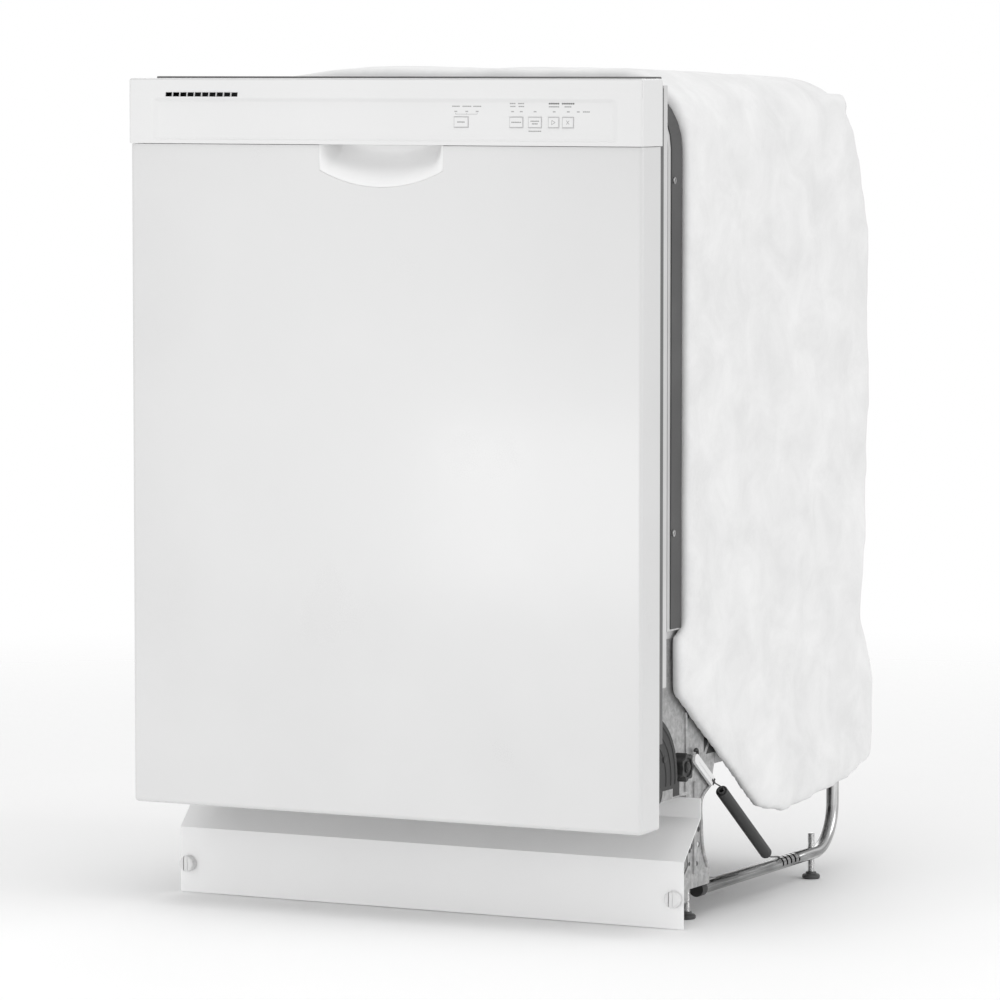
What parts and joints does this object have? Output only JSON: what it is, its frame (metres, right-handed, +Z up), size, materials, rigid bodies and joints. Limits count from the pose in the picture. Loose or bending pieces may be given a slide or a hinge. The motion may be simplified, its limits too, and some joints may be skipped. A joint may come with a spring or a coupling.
{
  "type": "built in dishwasher",
  "caption": "Front-loading built-in dishwasher with a drop-down door, recessed hand pocket, console with push pads, insulated tub, racks, spray arms and a tube base.",
  "frame": {"origin": "on the floor under the middle of the machine's outline, at the underside of the levelling feet", "axes": "+Z up; +X to the right as seen from the front; the door faces -Y, so +Y runs to the wall"},
  "size_m": [0.606, 0.622, 0.897],
  "materials": {
    "white_paint": "semi-gloss enamel",
    "white_plastic": "satin moulded",
    "black_plastic": "fine moulded",
    "grey_plastic": "moulded",
    "light_grey_plastic": "satin moulded",
    "dark_grey_steel": "satin dark grey",
    "galvanised": "mottled zinc",
    "zinc_tube": "bright zinc",
    "screw_steel": "zinc",
    "blanket_fibre": "fluffy white batt",
    "pad_fibre": "dark sound pad",
    "seal_rubber": "soft",
    "coated_wire": "grey vinyl coat",
    "heater_steel": "heat-stained",
    "lamp_lens": "translucent"
  },
  "bodies": {
    "cabinet": {"tub": "light_grey_plastic", "door_gasket": "seal_rubber", "wrap_band": "dark_grey_steel", "band_screws": "screw_steel", "blanket": "blanket_fibre", "latch_strike": "screw_steel", "supply_tube": "grey_plastic", "hinge_bracket_left": "galvanised", "hinge_bracket_right": "galvanised", "base_tube": "zinc_tube", "tube_caps": "black_plastic", "toe_kick": "white_paint", "crossmember": "galvanised", "sump": "grey_plastic", "wash_motor": "dark_grey_steel", "drain_pump": "black_plastic", "inlet_valve": "white_plastic", "junction_box": "galvanised", "heating_element": "heater_steel", "rail_guides": "grey_plastic"},
    "door": {"door_panel": "white_paint", "handle_pocket": "white_plastic", "console": "white_plastic", "vent_duct": "black_plastic", "indicator_lights": "lamp_lens", "control_board": "grey_plastic", "latch_body": "grey_plastic", "inner_door": "grey_plastic", "door_pad": "pad_fibre", "hinge_arms": "black_plastic", "dispenser": "light_grey_plastic"},
    "upper_rack": {"upper_rack_floor": "coated_wire", "upper_rack_walls": "coated_wire", "upper_rack_fittings": "grey_plastic"},
    "lower_rack": {"lower_rack_floor": "coated_wire", "lower_rack_walls": "coated_wire"},
    "balance_link": {"balance_links": "white_plastic", "balance_springs": "black_plastic"},
    "dispenser_lid": {"dispenser_lid": "light_grey_plastic"},
    "rinse_cap": {"rinse_cap": "light_grey_plastic"},
    "cycle_button": {"cycle_button": "white_plastic"},
    "options_button": {"options_button": "white_plastic"},
    "lock_button": {"lock_button": "white_plastic"},
    "start_button": {"start_button": "white_plastic"},
    "cancel_button": {"cancel_button": "white_plastic"},
    "toe_fastener_left": {"toe_fastener_left": "white_plastic"},
    "toe_fastener_right": {"toe_fastener_right": "white_plastic"},
    "pulley_wheels": {"pulley_wheels": "black_plastic"},
    "foot_front_left": {"foot_front_left": "dark_grey_steel"},
    "foot_front_right": {"foot_front_right": "dark_grey_steel"},
    "foot_rear_left": {"foot_rear_left": "dark_grey_steel"},
    "foot_rear_right": {"foot_rear_right": "dark_grey_steel"},
    "fine_filter": {"fine_filter": "light_grey_plastic"},
    "float": {"float": "light_grey_plastic"},
    "rack_rails": {"rack_rails": "screw_steel"},
    "upper_spray_arm": {"upper_spray_arm": "grey_plastic"},
    "front_wheels": {"front_wheels": "grey_plastic"},
    "rear_wheels": {"rear_wheels": "grey_plastic"},
    "silverware_basket": {"silverware_basket": "grey_plastic"},
    "lower_spray_arm": {"lower_spray_arm": "grey_plastic"}
  },
  "joints": [
    {"name": "door_hinge", "type": "hinge", "parent": "cabinet", "child": "door", "pos_m": [0, -0.259, 0.15], "axis": [1, 0, 0], "range_deg": [0, 90], "stiffness_Nm_per_rad": 38},
    {"name": "cycle_push", "type": "slide", "parent": "door", "child": "cycle_button", "axis": [0, 1, 0], "range_m": [0, 0.001], "stiffness_N_per_m": 600, "springref_m": -0.0008},
    {"name": "options_push", "type": "slide", "parent": "door", "child": "options_button", "axis": [0, 1, 0], "range_m": [0, 0.001], "stiffness_N_per_m": 600, "springref_m": -0.0008},
    {"name": "lock_push", "type": "slide", "parent": "door", "child": "lock_button", "axis": [0, 1, 0], "range_m": [0, 0.001], "stiffness_N_per_m": 600, "springref_m": -0.0008},
    {"name": "start_push", "type": "slide", "parent": "door", "child": "start_button", "axis": [0, 1, 0], "range_m": [0, 0.001], "stiffness_N_per_m": 600, "springref_m": -0.0008},
    {"name": "cancel_push", "type": "slide", "parent": "door", "child": "cancel_button", "axis": [0, 1, 0], "range_m": [0, 0.001], "stiffness_N_per_m": 600, "springref_m": -0.0008},
    {"name": "lid_slide", "type": "slide", "parent": "door", "child": "dispenser_lid", "axis": [-1, 0, 0], "range_m": [0, 0.08]},
    {"name": "rinse_cap_turn", "type": "hinge", "parent": "door", "child": "rinse_cap", "pos_m": [0.048, -0.222, 0.56], "axis": [0, 1, 0], "range_deg": [0, 90]},
    {"name": "balance_slide", "type": "slide", "parent": "cabinet", "child": "balance_link", "axis": [0, -0.8192, 0.5736], "range_m": [0, 0.0305], "deforming": ["balance_springs"]},
    {"name": "pulley_turn", "type": "hinge", "parent": "cabinet", "child": "pulley_wheels", "pos_m": [0, -0.1885, 0.169], "axis": [1, 0, 0], "range_deg": [0, 124]},
    {"name": "rails_slide", "type": "slide", "parent": "cabinet", "child": "rack_rails", "axis": [0, -1, 0], "range_m": [0, 0.201]},
    {"name": "upper_rack_slide", "type": "slide", "parent": "rack_rails", "child": "upper_rack", "axis": [0, -1, 0], "range_m": [0, 0.201]},
    {"name": "upper_arm_spin", "type": "hinge", "parent": "upper_rack", "child": "upper_spray_arm", "pos_m": [0, 0, 0.535], "axis": [0, 0, 1], "continuous": true},
    {"name": "lower_rack_slide", "type": "slide", "parent": "cabinet", "child": "lower_rack", "axis": [0, -1, 0], "range_m": [0, 0.161]},
    {"name": "front_wheels_roll", "type": "hinge", "parent": "lower_rack", "child": "front_wheels", "pos_m": [0, -0.11, 0.187], "axis": [1, 0, 0], "continuous": true},
    {"name": "rear_wheels_roll", "type": "hinge", "parent": "lower_rack", "child": "rear_wheels", "pos_m": [0, 0.122, 0.187], "axis": [1, 0, 0], "continuous": true},
    {"name": "basket_lift", "type": "slide", "parent": "lower_rack", "child": "silverware_basket", "axis": [0, 0, 1], "range_m": [0, 0.1]},
    {"name": "lower_arm_spin", "type": "hinge", "parent": "cabinet", "child": "lower_spray_arm", "pos_m": [0, 0, 0.193], "axis": [0, 0, 1], "continuous": true},
    {"name": "filter_turn", "type": "hinge", "parent": "cabinet", "child": "fine_filter", "pos_m": [-0.042, -0.022, 0.16], "axis": [0, 0, 1], "range_deg": [0, 90]},
    {"name": "float_lift", "type": "slide", "parent": "cabinet", "child": "float", "axis": [0, 0, 1], "range_m": [0, 0.012]},
    {"name": "toe_fastener_left_turn", "type": "hinge", "parent": "cabinet", "child": "toe_fastener_left", "pos_m": [-0.292, -0.208, 0.032], "axis": [0, 1, 0], "range_deg": [0, 90]},
    {"name": "toe_fastener_right_turn", "type": "hinge", "parent": "cabinet", "child": "toe_fastener_right", "pos_m": [0.292, -0.208, 0.032], "axis": [0, 1, 0], "range_deg": [0, 90]},
    {"name": "foot_front_left_turn", "type": "hinge", "parent": "cabinet", "child": "foot_front_left", "pos_m": [-0.272, -0.134, 0.03], "axis": [0, 0, 1], "continuous": true},
    {"name": "foot_front_right_turn", "type": "hinge", "parent": "cabinet", "child": "foot_front_right", "pos_m": [0.272, -0.134, 0.03], "axis": [0, 0, 1], "continuous": true},
    {"name": "foot_rear_left_turn", "type": "hinge", "parent": "cabinet", "child": "foot_rear_left", "pos_m": [-0.272, 0.194, 0.03], "axis": [0, 0, 1], "continuous": true},
    {"name": "foot_rear_right_turn", "type": "hinge", "parent": "cabinet", "child": "foot_rear_right", "pos_m": [0.272, 0.194, 0.03], "axis": [0, 0, 1], "continuous": true}
  ],
  "couplings": [
    {"joint": "balance_slide", "follows": "door_hinge", "m_per_rad": 0.019099},
    {"joint": "pulley_turn", "follows": "door_hinge", "ratio": 1.36},
    {"joint": "rails_slide", "follows": "door_hinge", "m_per_rad": 0.12732},
    {"joint": "upper_rack_slide", "follows": "door_hinge", "m_per_rad": 0.12732},
    {"joint": "lower_rack_slide", "follows": "door_hinge", "m_per_rad": 0.10186}
  ]
}
